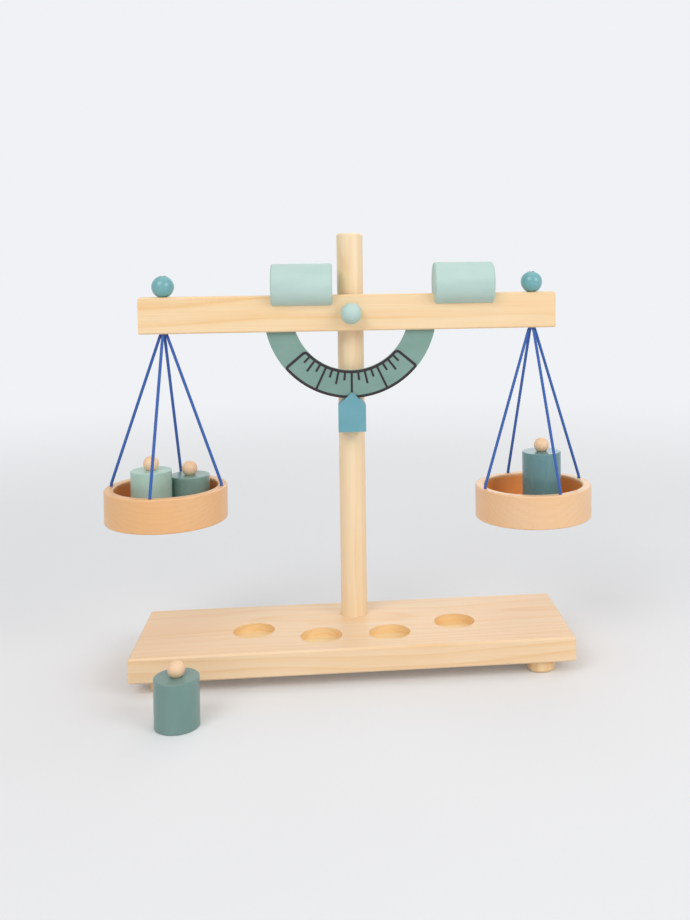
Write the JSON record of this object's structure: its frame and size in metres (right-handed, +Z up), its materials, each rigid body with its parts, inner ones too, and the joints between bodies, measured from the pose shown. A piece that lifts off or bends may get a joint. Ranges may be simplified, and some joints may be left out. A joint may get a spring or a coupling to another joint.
{
  "type": "balance scale toy",
  "caption": "Wooden balance scale toy with a tilting beam, pans hung on cords, sliding counterweights and knobbed weights to weigh with.",
  "frame": {"origin": "on the table under the middle of the base plate, at the height of the undersides of the feet", "axes": "+X to the right along the beam, +Y from the front of the scale to its back, +Z up along the post"},
  "size_m": [0.3464, 0.1516, 0.305],
  "materials": {
    "pine": "clear satin varnish on pine",
    "beech": "oiled beech",
    "birch": "plain sanded birch",
    "mint_paint": "matte mint paint on wood",
    "sage_paint": "matte sage paint on wood",
    "blue_paint": "matte grey blue paint on wood",
    "teal_paint": "glossy teal paint on wood",
    "green_paint": "matte dark green paint on wood",
    "deep_paint": "matte deep teal paint on wood",
    "grey_paint": "matte grey green paint on wood",
    "scale_ink": "printed near-black lines",
    "blue_cord": "braided blue cotton cord",
    "screw_steel": "zinc plated wood screw"
  },
  "bodies": {
    "stand": {"base_plate": "pine", "front_left_foot": "pine", "front_right_foot": "pine", "rear_left_foot": "pine", "rear_right_foot": "pine", "post": "pine", "base_screw": "screw_steel", "pivot_pin": "birch", "pivot_washer": "birch", "pivot_bead": "mint_paint", "pointer": "blue_paint", "pointer_peg": "birch"},
    "beam": {"beam": "pine", "dial": "sage_paint", "dial_scale": "scale_ink", "left_bead": "teal_paint", "right_bead": "teal_paint", "left_bundle": "blue_cord", "right_bundle": "blue_cord"},
    "left_slider": {"left_slider": "mint_paint"},
    "right_slider": {"right_slider": "mint_paint"},
    "left_knot": {"left_knot": "blue_cord"},
    "right_knot": {"right_knot": "blue_cord"},
    "left_pan": {"left_pan_ring": "beech", "left_pan_floor": "beech", "left_cord_right": "blue_cord", "left_cord_rear": "blue_cord", "left_cord_left": "blue_cord", "left_cord_front": "blue_cord"},
    "right_pan": {"right_pan_ring": "beech", "right_pan_floor": "beech", "right_cord_right": "blue_cord", "right_cord_rear": "blue_cord", "right_cord_left": "blue_cord", "right_cord_front": "blue_cord"},
    "short_weight": {"short_weight": "green_paint", "short_knob": "birch", "short_peg": "birch"},
    "middle_weight": {"middle_weight": "mint_paint", "middle_knob": "birch", "middle_peg": "birch"},
    "table_weight": {"table_weight": "grey_paint", "table_knob": "birch", "table_peg": "birch"},
    "tall_weight": {"tall_weight": "deep_paint", "tall_knob": "birch", "tall_peg": "birch"}
  },
  "joints": [
    {"name": "beam_tilt", "type": "hinge", "parent": "stand", "child": "beam", "pos_m": [0, 0.0054, 0.2484], "axis": [0, 1, 0], "range_deg": [-25, 7]},
    {"name": "left_level", "type": "hinge", "parent": "beam", "child": "left_knot", "pos_m": [-0.131, 0.0054, 0.2336], "axis": [0, 1, 0], "range_deg": [-7, 25]},
    {"name": "right_level", "type": "hinge", "parent": "beam", "child": "right_knot", "pos_m": [0.131, 0.0054, 0.2336], "axis": [0, 1, 0], "range_deg": [-7, 25]},
    {"name": "left_swing", "type": "hinge", "parent": "left_knot", "child": "left_pan", "pos_m": [-0.131, 0.0054, 0.2336], "axis": [1, 0, 0], "range_deg": [-12, 12]},
    {"name": "right_swing", "type": "hinge", "parent": "right_knot", "child": "right_pan", "pos_m": [0.131, 0.0054, 0.2336], "axis": [1, 0, 0], "range_deg": [-12, 12]},
    {"name": "left_slide", "type": "slide", "parent": "beam", "child": "left_slider", "axis": [1, 0, 0], "range_m": [-0.065, 0]},
    {"name": "right_slide", "type": "slide", "parent": "beam", "child": "right_slider", "axis": [1, 0, 0], "range_m": [-0.03, 0.018]},
    {"name": "short_lift", "type": "slide", "parent": "left_pan", "child": "short_weight", "axis": [0, 0, 1], "range_m": [0, 0.024]},
    {"name": "middle_lift", "type": "slide", "parent": "left_pan", "child": "middle_weight", "axis": [0, 0, 1], "range_m": [0, 0.03]},
    {"name": "tall_lift", "type": "slide", "parent": "right_pan", "child": "tall_weight", "axis": [0, 0, 1], "range_m": [0, 0.028]},
    {"name": "table_lift", "type": "slide", "parent": "stand", "child": "table_weight", "axis": [0, 0, 1], "range_m": [0, 0.06]}
  ],
  "couplings": [
    {"joint": "left_level", "follows": "beam_tilt", "ratio": -1},
    {"joint": "right_level", "follows": "beam_tilt", "ratio": -1}
  ]
}
